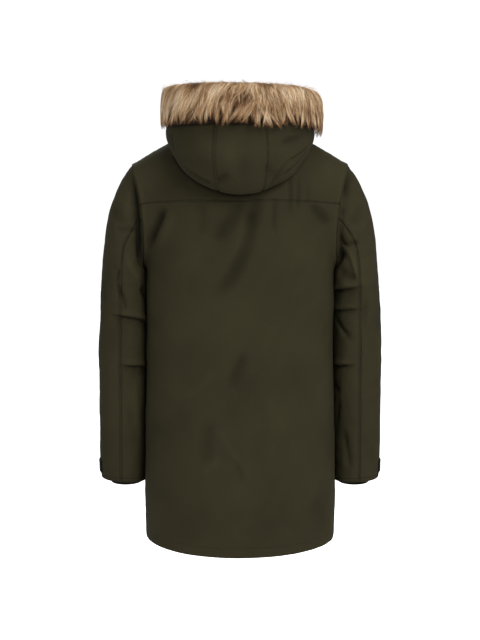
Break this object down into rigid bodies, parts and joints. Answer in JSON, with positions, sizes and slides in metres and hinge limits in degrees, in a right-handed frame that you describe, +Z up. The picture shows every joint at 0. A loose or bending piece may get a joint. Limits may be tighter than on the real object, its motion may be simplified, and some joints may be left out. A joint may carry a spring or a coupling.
{
  "type": "fur trimmed parka",
  "caption": "Olive hooded parka, filled out as if worn, with the fur trimmed hood laid down on the back, knitted inner cuffs and a closed front zip.",
  "frame": {"origin": "middle of the neck base at shoulder height, where the garment rests on its wearer", "axes": "+Z up, the front of the garment faces -Y and its back +Y, +X is the wearer's left"},
  "size_m": [0.6144, 0.3903, 0.986],
  "materials": {
    "shell": "matte olive cotton twill, smooth and dense",
    "fur": "long brown, tan and cream fur",
    "rib": "dark rib knit",
    "cuff_tab": "black woven webbing",
    "zip_tape": "dark woven tape",
    "zip_metal": "dark satin enamel"
  },
  "bodies": {
    "garment": {"back_panel": "shell", "back_yoke": "shell", "front_left": "shell", "front_right": "shell", "sleeve_left_outer": "shell", "sleeve_left_under": "shell", "sleeve_right_outer": "shell", "sleeve_right_under": "shell", "hood_centre": "shell", "hood_left": "shell", "hood_right": "shell", "fur_trim": "fur", "rib_cuff_left": "rib", "rib_cuff_right": "rib", "cuff_tab_left": "cuff_tab", "cuff_tab_right": "cuff_tab", "zip_tape_left": "zip_tape", "zip_tape_right": "zip_tape", "zip_slider": "zip_metal"},
    "pull_tab": {"zip_pull_tab": "zip_metal"}
  },
  "joints": [
    {"name": "pull_tab_hinge", "type": "hinge", "parent": "garment", "child": "pull_tab", "pos_m": [0, -0.11394, -0.06719], "axis": [-1, 0, 0], "range_deg": [0, 150]}
  ]
}
